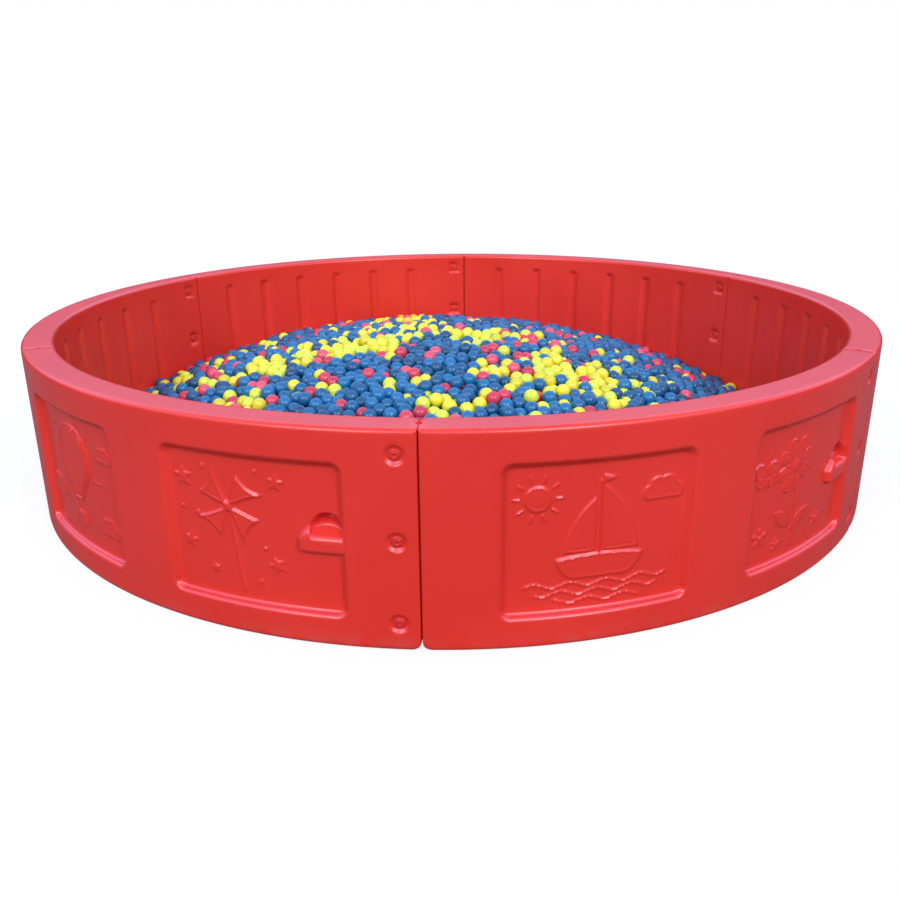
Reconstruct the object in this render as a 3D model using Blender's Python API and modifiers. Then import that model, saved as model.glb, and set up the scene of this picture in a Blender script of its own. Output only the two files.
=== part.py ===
"""Round ball pit: six hollow moulded wall panels, bolted end to end, round a heap of play balls.

Metres, +Z up. The origin is the centre of the ring on the ground, and one joint of the ring points to -Y.
A panel is shaped flat first: its length runs along X as measured round the outside of the wall, its inside is
at y = 0 and its outside at y = WALL_THICKNESS. It is then bent round the axis, and its bolt holes are cut.
"""

import math
import random

import bmesh
import bpy
from mathutils import Matrix, Vector

# Ring
RING_RADIUS = 1.500
WALL_THICKNESS = 0.100
WALL_HEIGHT = 0.575
PANEL_COUNT = 6
PANEL_STRIPS = 12
FIT_GAP = 0.0003

# Panel moulding; the corner sizes are measured on the flat face, inside its rounded edge
EDGE_ROUND = 0.010
TOP_CORNER = 0.005
BOTTOM_CORNER = 0.014
SKIN = 0.006
CHAMBER_WALL = 0.012
VENT_RADIUS = 0.006
VENT_SIDES = 8

# Recesses in the outside, with plain frames round them
RECESS_COUNT = 2
RECESS_DEPTH = 0.020
RECESS_SLOPE = 0.014
RECESS_CORNER = 0.030
RECESS_CORNER_STEPS = 3
FRAME_START = 0.190
FRAME_MIDDLE = 0.200
FRAME_END = 0.181
FRAME_TOP = 0.087
FRAME_BOTTOM = 0.083

# Hand grip: a bar at the far end of the last recess, with an arched pocket for the fingers above it
GRIP_WIDTH = 0.124
GRIP_HEIGHT = 0.058
GRIP_TOP = 0.300
GRIP_SETBACK = 0.003
GRIP_ROUND = 0.012
POCKET_WIDTH = 0.104
POCKET_RISE = 0.062
POCKET_SLOPE_RISE = 0.028
POCKET_SAG = 0.004
POCKET_DEPTH = 0.042
POCKET_DRAFT = 0.010
POCKET_SIDES = 12
POCKET_TO_FRAME = 0.003

# Grooves in the inside
GROOVE_COUNT = 6
GROOVE_WIDTH = 0.050
GROOVE_SLOPE = 0.012
GROOVE_DEPTH = 0.010
GROOVE_CORNER = 0.014
GROOVE_CORNER_STEPS = 1
GROOVE_START = 0.304
GROOVE_END = 0.200
GROOVE_TOP = 0.056
GROOVE_BOTTOM = 0.056

# Joints: a tongue on each panel end lies in a slot of the neighbouring panel
TONGUE_LENGTH = 0.100
TONGUE_THICKNESS = 0.022
TONGUE_MARGIN = 0.040
TONGUE_SPACING = 0.004
SLOT_CLEARANCE = 0.0006
SLOT_END_CLEARANCE = 0.004
RIM_HOLE_RADIUS = 0.005
RIM_HOLE_DEPTH = 0.014
RIM_HOLE_SIDES = 8

# Bolts, their round dishes outside and their square pockets inside
BOLT_OFFSET = 0.054
BOLT_TO_FOOT = 0.075
BOLT_TO_RIM = 0.063
BOLT_RADIUS = 0.005
BOLT_TIP_MARGIN = 0.002
BOLT_SIDES = 8
HEAD_RADIUS = 0.014
HEAD_HEIGHT = 0.005
SOCKET_RADIUS = 0.005
SOCKET_DEPTH = 0.003
SEAT_DEPTH = 0.008
DISH_RADIUS = 0.023
DISH_FLOOR_RADIUS = 0.017
DISH_SIDES = 12
SQUARE_SIDE = 0.052
SQUARE_FLOOR_SIDE = 0.040

# Play balls and their heap; the topmost balls lie on a chessboard's squares of one colour, by (column, row)
BALL_DIAMETER = 0.055
HEAP_TOP = 0.346
HEAP_TOP_X = -0.120
HEAP_TOP_Y = 0.280
HEAP_REACH_X = 1.560
HEAP_REACH_Y = 1.940
MEAN_BALL_GAP = 0.005
BALL_SCATTER = 0.42
BALL_RISE = 0.011
BALL_SEED = 31
BALL_TO_WALL = 0.003
SETTLING_TURNS = 24
CROWN_SHARE = 1.10
DIP_SHARE = 0.25
LOOSE_DIP_SHARE = 0.75
LOOSE_BALL_RISE = 0.014
LOOSE_BALLS = {
    (-16, -6): "blue",
    (-9, 9): "yellow",
    (-3, -13): "red",
    (1, 5): "blue",
    (7, -7): "yellow",
    (10, 10): "red",
    (16, 0): "blue",
    (19, -11): "yellow",
}

COLOURS = {
    "red_panel": (0.680, 0.032, 0.026),
    "red_bolt": (0.620, 0.030, 0.022),
    "blue_ball": (0.020, 0.130, 0.520),
    "yellow_ball": (0.800, 0.720, 0.060),
    "red_ball": (0.680, 0.060, 0.100),
}
ROUGHNESS = {"red_panel": 0.38, "red_bolt": 0.45, "blue_ball": 0.28, "yellow_ball": 0.28, "red_ball": 0.28}

# Worked out from the sizes above
PIT_RADIUS = RING_RADIUS - WALL_THICKNESS
PANEL_ANGLE = 2 * math.pi / PANEL_COUNT
PANEL_LENGTH = RING_RADIUS * PANEL_ANGLE
STRIP_LENGTH = PANEL_LENGTH / PANEL_STRIPS
FIRST_JOINT = math.radians(-90)
RECESS_LENGTH = (PANEL_LENGTH - FRAME_START - FRAME_END - (RECESS_COUNT - 1) * FRAME_MIDDLE) / RECESS_COUNT
RECESS_FLOOR = WALL_THICKNESS - RECESS_DEPTH
RECESS_END = PANEL_LENGTH - FRAME_END
WALL_MIDDLE = WALL_THICKNESS / 2
OUTER_TONGUE = WALL_MIDDLE + TONGUE_SPACING / 2
INNER_TONGUE = WALL_MIDDLE - TONGUE_SPACING / 2 - TONGUE_THICKNESS
SEAT_TO_TONGUE_BACK = OUTER_TONGUE - SEAT_DEPTH - TONGUE_SPACING
BOLT_HEIGHTS = {
    "lower": BOLT_TO_FOOT,
    "middle": (BOLT_TO_FOOT + WALL_HEIGHT - BOLT_TO_RIM) / 2,
    "upper": WALL_HEIGHT - BOLT_TO_RIM,
}
OUTER_BOLT_ANGLE = BOLT_OFFSET / RING_RADIUS
INNER_BOLT_ANGLE = BOLT_OFFSET / PIT_RADIUS
BALL_RADIUS = BALL_DIAMETER / 2
HEAP_STEPS = PANEL_COUNT * PANEL_STRIPS // 2
ROW_STEP = (BALL_DIAMETER + MEAN_BALL_GAP) / math.sqrt(2)
MOST_ROWS = math.ceil(PIT_RADIUS / ROW_STEP) + 1
BALL_REACH = PIT_RADIUS - BALL_RADIUS - BALL_TO_WALL
PAST = 0.010
SHADED_UP_TO = math.radians(35)


def clear_scene():
    for item in list(bpy.data.objects):
        bpy.data.objects.remove(item, do_unlink=True)


def new_collection(name):
    collection = bpy.data.collections.new(name)
    bpy.context.scene.collection.children.link(collection)
    return collection


def new_material(name):
    material = bpy.data.materials.new(name)
    material.use_nodes = True
    shader = material.node_tree.nodes["Principled BSDF"]
    shader.inputs["Base Color"].default_value = (*COLOURS[name], 1)
    shader.inputs["Roughness"].default_value = ROUGHNESS[name]
    shader.inputs["Metallic"].default_value = 0
    material.diffuse_color = (*COLOURS[name], 1)
    return material


def mesh_of(shape, name):
    """The mesh of a bmesh, which is freed."""
    mesh = bpy.data.meshes.new(name)
    shape.to_mesh(mesh)
    shape.free()
    return mesh


def joined(shapes):
    """One bmesh with copies of several, which are freed."""
    whole = bmesh.new()
    for shape in shapes:
        mesh = mesh_of(shape, "piece")
        whole.from_mesh(mesh)
        bpy.data.meshes.remove(mesh)
    return whole


def new_object(name, mesh, collection):
    item = bpy.data.objects.new(name, mesh)
    collection.objects.link(item)
    return item


def new_helper(name, mesh):
    """An object that shapes another and isn't a piece of the ball pit."""
    helper = new_object(name, mesh, helpers)
    helper.hide_render = True
    helper.display_type = "WIRE"
    return helper


def add_boolean(item, operation, other):
    modifier = item.modifiers.new(f"{operation.lower()} {other.name}", "BOOLEAN")
    modifier.operation = operation
    modifier.solver = "EXACT"
    modifier.object = other


def evaluated_mesh(item, name):
    """A plain mesh of an object with its modifiers applied."""
    graph = bpy.context.evaluated_depsgraph_get()
    mesh = bpy.data.meshes.new_from_object(item.evaluated_get(graph))
    mesh.name = name
    return mesh


def box(low, high):
    """A bmesh box between two corners."""
    shape = bmesh.new()
    low = Vector(low)
    high = Vector(high)
    placing = Matrix.Translation((low + high) / 2) @ Matrix.Diagonal((*(high - low), 1))
    bmesh.ops.create_cube(shape, size=1, matrix=placing)
    return shape


def same(first, second):
    return abs(first - second) < 1e-6


def bevel_edges(shape, wanted, width, segments):
    """Rounds the edges of a bmesh whose two end points suit a rule."""
    edges = [edge for edge in shape.edges if wanted(edge.verts[0].co, edge.verts[1].co)]
    bmesh.ops.bevel(shape, geom=edges, offset=width, segments=segments, profile=0.5, affect="EDGES")


def along_depth(first, second):
    return same(first.x, second.x) and same(first.z, second.z)


def along_depth_at(height):
    return lambda first, second: along_depth(first, second) and same(first.z, height)


def tapered_block(low, high, corner, slope, floor, mouth):
    """A block with a mouth from (x, z) low to high and sides that lean in. A corner is (size, steps)."""
    shape = box((low[0], 0, low[1]), (high[0], 1, high[1]))
    bevel_edges(shape, along_depth, *corner)
    middle_x = (low[0] + high[0]) / 2
    middle_z = (low[1] + high[1]) / 2
    past = math.copysign(PAST, mouth - floor)
    for vert in shape.verts:
        at_mouth = vert.co.y > 0
        growth = slope * past / (mouth - floor) if at_mouth else -slope
        vert.co.x += growth * (vert.co.x - middle_x) / (high[0] - middle_x)
        vert.co.z += growth * (vert.co.z - middle_z) / (high[1] - middle_z)
        vert.co.y = mouth + past if at_mouth else floor
    if mouth < floor:
        bmesh.ops.reverse_faces(shape, faces=shape.faces)
    return shape


def turned_mesh(name, profile, steps):
    """A closed mesh turned round Z from (radius, height) points that run from the axis down the outside."""
    line = bpy.data.meshes.new(name)
    points = [(radius, 0, height) for radius, height in profile]
    line.from_pydata(points, [(step, step + 1) for step in range(len(points) - 1)], [])
    blank = new_object(name, line, helpers)
    screw = blank.modifiers.new("turn", "SCREW")
    screw.angle = 2 * math.pi
    screw.steps = steps
    screw.render_steps = steps
    screw.use_merge_vertices = True
    screw.merge_threshold = 1e-5
    mesh = evaluated_mesh(blank, name)
    bpy.data.objects.remove(blank, do_unlink=True)
    return mesh


def round_bar(sides, low_radius, high_radius, low, high, placing=Matrix()):
    """A bmesh cylinder or cone frustum along Z from low to high, then placed."""
    shape = bmesh.new()
    middle = Matrix.Translation((0, 0, (low + high) / 2))
    bmesh.ops.create_cone(
        shape,
        cap_ends=True,
        segments=sides,
        radius1=low_radius,
        radius2=high_radius,
        depth=high - low,
        matrix=placing @ middle,
    )
    return shape


def panel_blank():
    """The plain flat panel, with its rounded corners and edges."""
    shape = box((FIT_GAP / 2, 0, 0), (PANEL_LENGTH - FIT_GAP / 2, WALL_THICKNESS, WALL_HEIGHT))
    bevel_edges(shape, along_depth_at(0), BOTTOM_CORNER + EDGE_ROUND, 2)
    bevel_edges(shape, along_depth_at(WALL_HEIGHT), TOP_CORNER + EDGE_ROUND, 2)
    bevel_edges(shape, lambda first, second: same(first.y, second.y), EDGE_ROUND, 2)
    return shape


def recess_blocks():
    blocks = []
    for number in range(RECESS_COUNT):
        start = FRAME_START + number * (RECESS_LENGTH + FRAME_MIDDLE)
        low = (start, FRAME_BOTTOM)
        high = (start + RECESS_LENGTH, WALL_HEIGHT - FRAME_TOP)
        corner = (RECESS_CORNER, RECESS_CORNER_STEPS)
        blocks.append(tapered_block(low, high, corner, RECESS_SLOPE, RECESS_FLOOR, WALL_THICKNESS))
    return joined(blocks)


def groove_blocks():
    blocks = []
    pitch = (PANEL_LENGTH - GROOVE_START - GROOVE_END) / (GROOVE_COUNT - 1)
    for number in range(GROOVE_COUNT):
        middle = GROOVE_START + number * pitch
        low = (middle - GROOVE_WIDTH / 2, GROOVE_BOTTOM)
        high = (middle + GROOVE_WIDTH / 2, WALL_HEIGHT - GROOVE_TOP)
        corner = (GROOVE_CORNER, GROOVE_CORNER_STEPS)
        blocks.append(tapered_block(low, high, corner, GROOVE_SLOPE, GROOVE_DEPTH, 0))
    return joined(blocks)


def pocket_middle():
    return RECESS_END - POCKET_TO_FRAME - POCKET_WIDTH / 2


def finger_pocket():
    """An arched pocket over the grip bar, whose lower side climbs towards its floor."""
    to_outside = Matrix.Rotation(math.radians(-90), 4, "X")
    floor = RECESS_FLOOR - POCKET_DEPTH
    mouth = WALL_THICKNESS + PAST
    floor_width = POCKET_WIDTH / 2 - POCKET_DRAFT
    mouth_width = POCKET_WIDTH / 2
    shape = round_bar(POCKET_SIDES, floor_width, mouth_width, floor, mouth, to_outside)
    for vert in shape.verts:
        at_floor = same(vert.co.y, floor)
        low = GRIP_TOP + (POCKET_SLOPE_RISE if at_floor else 0)
        high = GRIP_TOP + POCKET_RISE - (POCKET_DRAFT if at_floor else 0)
        arch = vert.co.z / (floor_width if at_floor else mouth_width)
        vert.co.z = low + arch * (high - low if arch > 0 else POCKET_SAG)
        vert.co.x += pocket_middle()
    return shape


def grip_bar():
    low = (RECESS_END - GRIP_WIDTH, RECESS_FLOOR - SKIN / 2, GRIP_TOP - GRIP_HEIGHT)
    high = (RECESS_END + PAST, WALL_THICKNESS - GRIP_SETBACK, GRIP_TOP)
    shape = box(low, high)
    front = high[1]
    bevel_edges(shape, lambda first, second: same(first.y, front) and same(second.y, front), GRIP_ROUND, 2)
    return shape


def chamber():
    """The hollow between the outer and the inner skin, clear of the joints' slots."""
    end = TONGUE_LENGTH + SLOT_END_CLEARANCE + CHAMBER_WALL
    low = (end, GROOVE_DEPTH + SKIN, CHAMBER_WALL)
    high = (PANEL_LENGTH - end, RECESS_FLOOR - SKIN, WALL_HEIGHT - CHAMBER_WALL)
    hollow = new_helper("chamber", mesh_of(box(low, high), "chamber"))
    half_width = POCKET_WIDTH / 2 + SKIN
    low = (pocket_middle() - half_width, RECESS_FLOOR - POCKET_DEPTH - SKIN, GRIP_TOP - POCKET_SAG - SKIN)
    high = (pocket_middle() + half_width, WALL_THICKNESS, GRIP_TOP + POCKET_RISE + SKIN)
    add_boolean(hollow, "DIFFERENCE", new_helper("wall_of_pocket", mesh_of(box(low, high), "wall_of_pocket")))
    return hollow


def vent():
    placing = Matrix.Translation((PANEL_LENGTH / 2, (GROOVE_DEPTH + RECESS_FLOOR) / 2, 0))
    return round_bar(VENT_SIDES, VENT_RADIUS, VENT_RADIUS, -PAST, CHAMBER_WALL + PAST, placing)


def tongues():
    """The outer tongue before the start of the panel and the inner one past its end."""
    low_z = TONGUE_MARGIN
    high_z = WALL_HEIGHT - TONGUE_MARGIN
    outer = box((-TONGUE_LENGTH, OUTER_TONGUE, low_z), (PAST, OUTER_TONGUE + TONGUE_THICKNESS, high_z))
    inner_low = (PANEL_LENGTH - PAST, INNER_TONGUE, low_z)
    inner_high = (PANEL_LENGTH + TONGUE_LENGTH, INNER_TONGUE + TONGUE_THICKNESS, high_z)
    return joined([outer, box(inner_low, inner_high)])


def slots():
    """The slots for the neighbours' tongues: an inner one at the start and an outer one at the end."""
    reach = TONGUE_LENGTH + SLOT_END_CLEARANCE
    low_z = TONGUE_MARGIN - SLOT_CLEARANCE
    high_z = WALL_HEIGHT - TONGUE_MARGIN + SLOT_CLEARANCE
    thickness = TONGUE_THICKNESS + SLOT_CLEARANCE
    inner = box((-PAST, INNER_TONGUE - SLOT_CLEARANCE, low_z), (reach, INNER_TONGUE + thickness, high_z))
    outer_low = (PANEL_LENGTH - reach, OUTER_TONGUE - SLOT_CLEARANCE, low_z)
    outer_high = (PANEL_LENGTH + PAST, OUTER_TONGUE + thickness, high_z)
    return joined([inner, box(outer_low, outer_high)])


def cut_into_strips(shape):
    """Cuts a flat panel across its length at even steps, so that it can be bent."""
    reach = math.ceil(TONGUE_LENGTH / STRIP_LENGTH)
    for number in range(-reach, PANEL_STRIPS + reach + 1):
        everything = shape.verts[:] + shape.edges[:] + shape.faces[:]
        place = (number * STRIP_LENGTH, 0, 0)
        bmesh.ops.bisect_plane(shape, geom=everything, dist=1e-6, plane_co=place, plane_no=(1, 0, 0))


def bend_round_axis(shape):
    """Turns length along X into an angle round the ring's axis, and depth along Y into a radius."""
    for vert in shape.verts:
        angle = vert.co.x / RING_RADIUS
        radius = PIT_RADIUS + vert.co.y
        vert.co.x = radius * math.cos(angle)
        vert.co.y = radius * math.sin(angle)


def on_wall(angle, radius, height, outwards):
    """A matrix at a place on a bent panel, whose +Z points out of the ring or into it."""
    turn = math.radians(90 if outwards else -90)
    turned = Matrix.Rotation(angle, 4, "Z") @ Matrix.Translation((radius, 0, height))
    return turned @ Matrix.Rotation(turn, 4, "Y")


def outer_seat(angle, height):
    return on_wall(angle, RING_RADIUS - SEAT_DEPTH, height, True)


def inner_seat(angle, height):
    return on_wall(angle, PIT_RADIUS + SEAT_DEPTH, height, False)


def bolt_seats():
    """The round dishes near the end of a panel and the square pockets near its start."""
    shapes = []
    top = SEAT_DEPTH + PAST
    dish_mouth = DISH_FLOOR_RADIUS + (DISH_RADIUS - DISH_FLOOR_RADIUS) * top / SEAT_DEPTH
    square_floor = SQUARE_FLOOR_SIDE / math.sqrt(2)
    square_mouth = square_floor + (SQUARE_SIDE - SQUARE_FLOOR_SIDE) / math.sqrt(2) * top / SEAT_DEPTH
    for height in BOLT_HEIGHTS.values():
        dish = outer_seat(PANEL_ANGLE - OUTER_BOLT_ANGLE, height)
        shapes.append(round_bar(DISH_SIDES, DISH_FLOOR_RADIUS, dish_mouth, 0, top, dish))
        square = inner_seat(INNER_BOLT_ANGLE, height) @ Matrix.Rotation(math.radians(45), 4, "Z")
        shapes.append(round_bar(4, square_floor, square_mouth, 0, top, square))
    return joined(shapes)


def bolt_holes():
    """The holes from each seat to the slot behind it, and through this panel's own tongues."""
    radius = BOLT_RADIUS + FIT_GAP
    in_slot = SEAT_TO_TONGUE_BACK - TONGUE_THICKNESS / 2
    before_tongue = SEAT_TO_TONGUE_BACK - TONGUE_THICKNESS - PAST
    behind_tongue = SEAT_TO_TONGUE_BACK + PAST
    shapes = []
    for height in BOLT_HEIGHTS.values():
        outer = outer_seat(PANEL_ANGLE - OUTER_BOLT_ANGLE, height)
        inner = inner_seat(INNER_BOLT_ANGLE, height)
        outer_tongue = outer_seat(-OUTER_BOLT_ANGLE, height)
        inner_tongue = inner_seat(PANEL_ANGLE + INNER_BOLT_ANGLE, height)
        for seat in (outer, inner):
            shapes.append(round_bar(BOLT_SIDES, radius, radius, -in_slot, SEAT_DEPTH / 2, seat))
        for seat in (outer_tongue, inner_tongue):
            shapes.append(round_bar(BOLT_SIDES, radius, radius, -behind_tongue, -before_tongue, seat))
    return joined(shapes)


def rim_holes():
    """A small upright hole in the middle of the rim at each end, half in this panel."""
    shapes = []
    radius = RIM_HOLE_RADIUS
    for angle in (0, PANEL_ANGLE):
        on_rim = Matrix.Translation((RING_RADIUS - WALL_MIDDLE, 0, WALL_HEIGHT))
        placing = Matrix.Rotation(angle, 4, "Z") @ on_rim
        shapes.append(round_bar(RIM_HOLE_SIDES, radius, radius, -RIM_HOLE_DEPTH, PAST, placing))
    return joined(shapes)


def panel_mesh():
    """A whole wall panel that starts at angle 0 of the ring."""
    flat = new_helper("flat_panel", mesh_of(panel_blank(), "flat_panel"))
    add_boolean(flat, "DIFFERENCE", new_helper("recesses", mesh_of(recess_blocks(), "recesses")))
    add_boolean(flat, "DIFFERENCE", new_helper("finger_pocket", mesh_of(finger_pocket(), "finger_pocket")))
    add_boolean(flat, "UNION", new_helper("grip_bar", mesh_of(grip_bar(), "grip_bar")))
    add_boolean(flat, "DIFFERENCE", new_helper("grooves", mesh_of(groove_blocks(), "grooves")))
    add_boolean(flat, "DIFFERENCE", chamber())
    add_boolean(flat, "DIFFERENCE", new_helper("vent", mesh_of(vent(), "vent")))
    add_boolean(flat, "UNION", new_helper("tongues", mesh_of(tongues(), "tongues")))
    add_boolean(flat, "DIFFERENCE", new_helper("slots", mesh_of(slots(), "slots")))
    shape = bmesh.new()
    shape.from_mesh(evaluated_mesh(flat, "cut_panel"))
    cut_into_strips(shape)
    bmesh.ops.triangulate(shape, faces=shape.faces)
    bend_round_axis(shape)
    bent = new_helper("bent_panel", mesh_of(shape, "bent_panel"))
    add_boolean(bent, "DIFFERENCE", new_helper("bolt_seats", mesh_of(bolt_seats(), "bolt_seats")))
    add_boolean(bent, "DIFFERENCE", new_helper("bolt_holes", mesh_of(bolt_holes(), "bolt_holes")))
    add_boolean(bent, "DIFFERENCE", new_helper("rim_holes", mesh_of(rim_holes(), "rim_holes")))
    return evaluated_mesh(bent, "wall_panel")


def bolt_mesh():
    """A bolt whose head stands on z = 0, with a round socket."""
    top = FIT_GAP + HEAD_HEIGHT
    tip = BOLT_TIP_MARGIN - SEAT_TO_TONGUE_BACK
    profile = [
        (0, top - SOCKET_DEPTH),
        (SOCKET_RADIUS, top - SOCKET_DEPTH),
        (SOCKET_RADIUS, top),
        (HEAD_RADIUS, top),
        (HEAD_RADIUS, FIT_GAP),
        (BOLT_RADIUS, FIT_GAP),
        (BOLT_RADIUS, tip),
        (0, tip),
    ]
    return turned_mesh("bolt", profile, BOLT_SIDES)


def heap_height(x, y):
    """The heap falls off from its top, left of the middle and behind it, to a single layer of balls."""
    across = ((x - HEAP_TOP_X) / HEAP_REACH_X) ** 2
    along = ((y - HEAP_TOP_Y) / HEAP_REACH_Y) ** 2
    return max(BALL_RADIUS, HEAP_TOP * (1 - across - along))


def top_balls():
    """The middles of the topmost balls by column and row, scattered and then pushed apart."""
    scatter = random.Random(BALL_SEED)
    places = {}
    rises = {}
    for column in range(-MOST_ROWS, MOST_ROWS + 1):
        for row in range(-MOST_ROWS + (column + MOST_ROWS) % 2, MOST_ROWS + 1, 2):
            x = ROW_STEP * (column + scatter.uniform(-BALL_SCATTER, BALL_SCATTER))
            y = ROW_STEP * (row + scatter.uniform(-BALL_SCATTER, BALL_SCATTER))
            rise = scatter.uniform(-BALL_RISE, BALL_RISE)
            rises[column, row] = LOOSE_BALL_RISE if (column, row) in LOOSE_BALLS else rise
            places[column, row] = Vector((x, y, heap_height(x, y) + rises[column, row]))
    for _ in range(SETTLING_TURNS):
        for (column, row), place in places.items():
            for spot in ((column + 1, row + 1), (column + 1, row - 1), (column + 2, row), (column, row + 2)):
                if spot in places:
                    push_apart(place, places[spot], spot in LOOSE_BALLS or (column, row) in LOOSE_BALLS)
            if BALL_REACH < place.xy.length < BALL_REACH + BALL_RADIUS:
                place.xy *= BALL_REACH / place.xy.length
            place.z = heap_height(place.x, place.y) + rises[column, row]
    return places


def push_apart(place, other, with_loose):
    """Moves two balls sideways until they only touch. A loose ball keeps a free way up."""
    apart = other - place
    if with_loose:
        apart.z = 0
    short = BALL_DIAMETER - apart.length
    if short > 0:
        push = apart.xy.normalized() * short / 2
        place.xy -= push
        other.xy += push


def ball(radius, place=(0, 0, 0)):
    shape = bmesh.new()
    bmesh.ops.create_icosphere(shape, subdivisions=2, radius=radius, matrix=Matrix.Translation(place))
    return shape


def surface_place(places, column, row):
    """The crown of a topmost ball, or the dip between the four balls round a place that has none."""
    if (column, row) in places:
        place = places[column, row].copy()
        crowned = (column, row) not in LOOSE_BALLS and place.xy.length < BALL_REACH + BALL_TO_WALL
        place.z += CROWN_SHARE * BALL_RADIUS if crowned else 0
        return place
    beside = [(column - 1, row), (column + 1, row), (column, row - 1), (column, row + 1)]
    beside = [spot for spot in beside if spot in places]
    place = sum((places[spot] for spot in beside), Vector()) / len(beside)
    place.z -= DIP_SHARE * BALL_RADIUS
    for spot in beside:
        if spot in LOOSE_BALLS:
            place.z = places[spot].z - LOOSE_DIP_SHARE * BALL_RADIUS
    return place


def heap_surface(places):
    """A thick sheet over the heap, with a crown for each ball and a dip between each four."""
    shape = bmesh.new()
    rows = 2 * MOST_ROWS
    bmesh.ops.create_grid(shape, x_segments=rows, y_segments=rows, size=MOST_ROWS * ROW_STEP)
    dips = set()
    for corner in shape.verts:
        column, row = round(corner.co.x / ROW_STEP), round(corner.co.y / ROW_STEP)
        if (column, row) not in places:
            dips.add(corner)
        corner.co = surface_place(places, column, row)
    for square in shape.faces[:]:
        bmesh.utils.face_split(square, *(corner for corner in square.verts if corner in dips))
    under = bmesh.ops.extrude_face_region(shape, geom=shape.faces[:])
    for corner in under["geom"]:
        if isinstance(corner, bmesh.types.BMVert):
            corner.co.z = -PAST
    bmesh.ops.recalc_face_normals(shape, faces=shape.faces)
    return shape


def heap_mesh(places):
    """The heap as one solid that fills the ring, with a hollow under each loose ball."""
    edge = PIT_RADIUS - FIT_GAP
    high = HEAP_TOP + BALL_DIAMETER
    heap = new_helper("heap", turned_mesh("heap", [(0, high), (edge, high), (edge, 0), (0, 0)], HEAP_STEPS))
    add_boolean(heap, "INTERSECT", new_helper("heap_surface", mesh_of(heap_surface(places), "heap_surface")))
    seats = [ball(BALL_RADIUS + FIT_GAP, places[spot]) for spot in LOOSE_BALLS]
    add_boolean(heap, "DIFFERENCE", new_helper("ball_seats", mesh_of(joined(seats), "ball_seats")))
    return evaluated_mesh(heap, "ball_heap")


def with_material(mesh, material):
    mesh.materials.clear()
    mesh.materials.append(material)
    mesh.shade_smooth()
    mesh.set_sharp_from_angle(angle=SHADED_UP_TO)
    return mesh


def place_ring():
    """The panels, and three bolts from each side at each joint."""
    panel = with_material(panel_mesh(), new_material("red_panel"))
    bolt = with_material(bolt_mesh(), new_material("red_bolt"))
    for number in range(PANEL_COUNT):
        joint = FIRST_JOINT + number * PANEL_ANGLE
        new_object(f"wall_panel_{number + 1}", panel, ball_pit).rotation_euler.z = joint
        for level, height in BOLT_HEIGHTS.items():
            outer = new_object(f"outer_bolt_{number + 1}_{level}", bolt, ball_pit)
            outer.matrix_world = outer_seat(joint - OUTER_BOLT_ANGLE, height)
            inner = new_object(f"inner_bolt_{number + 1}_{level}", bolt, ball_pit)
            inner.matrix_world = inner_seat(joint + INNER_BOLT_ANGLE, height)


def place_balls():
    materials = {colour: new_material(f"{colour}_ball") for colour in ("blue", "yellow", "red")}
    places = top_balls()
    new_object("ball_heap", with_material(heap_mesh(places), materials["blue"]), ball_pit)
    meshes = {
        colour: with_material(mesh_of(ball(BALL_RADIUS), f"{colour}_ball"), material)
        for colour, material in materials.items()
    }
    for number, (spot, colour) in enumerate(LOOSE_BALLS.items(), 1):
        new_object(f"loose_ball_{number}_{colour}", meshes[colour], ball_pit).location = places[spot]


clear_scene()
ball_pit = new_collection("ball_pit")
helpers = new_collection("helpers")
place_ring()
place_balls()
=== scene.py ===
import math
import random

import bmesh
import bpy
import numpy as np
from mathutils import Matrix, Vector, kdtree


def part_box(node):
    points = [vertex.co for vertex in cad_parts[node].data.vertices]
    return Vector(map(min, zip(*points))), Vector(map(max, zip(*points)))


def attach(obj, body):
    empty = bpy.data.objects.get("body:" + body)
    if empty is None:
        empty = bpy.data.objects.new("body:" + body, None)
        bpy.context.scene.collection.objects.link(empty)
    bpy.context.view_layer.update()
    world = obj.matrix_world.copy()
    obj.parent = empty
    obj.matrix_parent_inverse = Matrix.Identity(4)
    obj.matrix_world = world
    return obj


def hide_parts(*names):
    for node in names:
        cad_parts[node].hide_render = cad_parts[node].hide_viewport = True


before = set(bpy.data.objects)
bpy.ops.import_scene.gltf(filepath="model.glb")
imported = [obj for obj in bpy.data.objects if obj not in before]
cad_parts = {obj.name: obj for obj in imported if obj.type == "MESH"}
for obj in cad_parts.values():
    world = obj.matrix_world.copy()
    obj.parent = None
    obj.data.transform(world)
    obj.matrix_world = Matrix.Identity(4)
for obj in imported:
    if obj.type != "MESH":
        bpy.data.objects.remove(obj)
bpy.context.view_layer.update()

# View and light
# A wide, low view over the front seam of the ring, a pale studio floor and an overcast sky, brightest some
# 25 degrees up and dark at the horizon. The camera sees the sky as plain white.

camera = bpy.data.objects.new("camera", bpy.data.cameras.new("camera"))
bpy.context.collection.objects.link(camera)
camera.data.lens = 35.580
camera.data.sensor_width = 36
camera.matrix_world = (
    Matrix.Rotation(math.radians(3.122), 4, "Z")
    @ Matrix.Translation((-0.0082, -3.3847, 1.2068))
    @ Matrix.Rotation(math.radians(90 - 19.835), 4, "X")
    @ Matrix.Rotation(-0.009970, 4, "Z")
)
bpy.context.scene.camera = camera
bpy.context.scene.view_settings.view_transform = "Standard"


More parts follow.
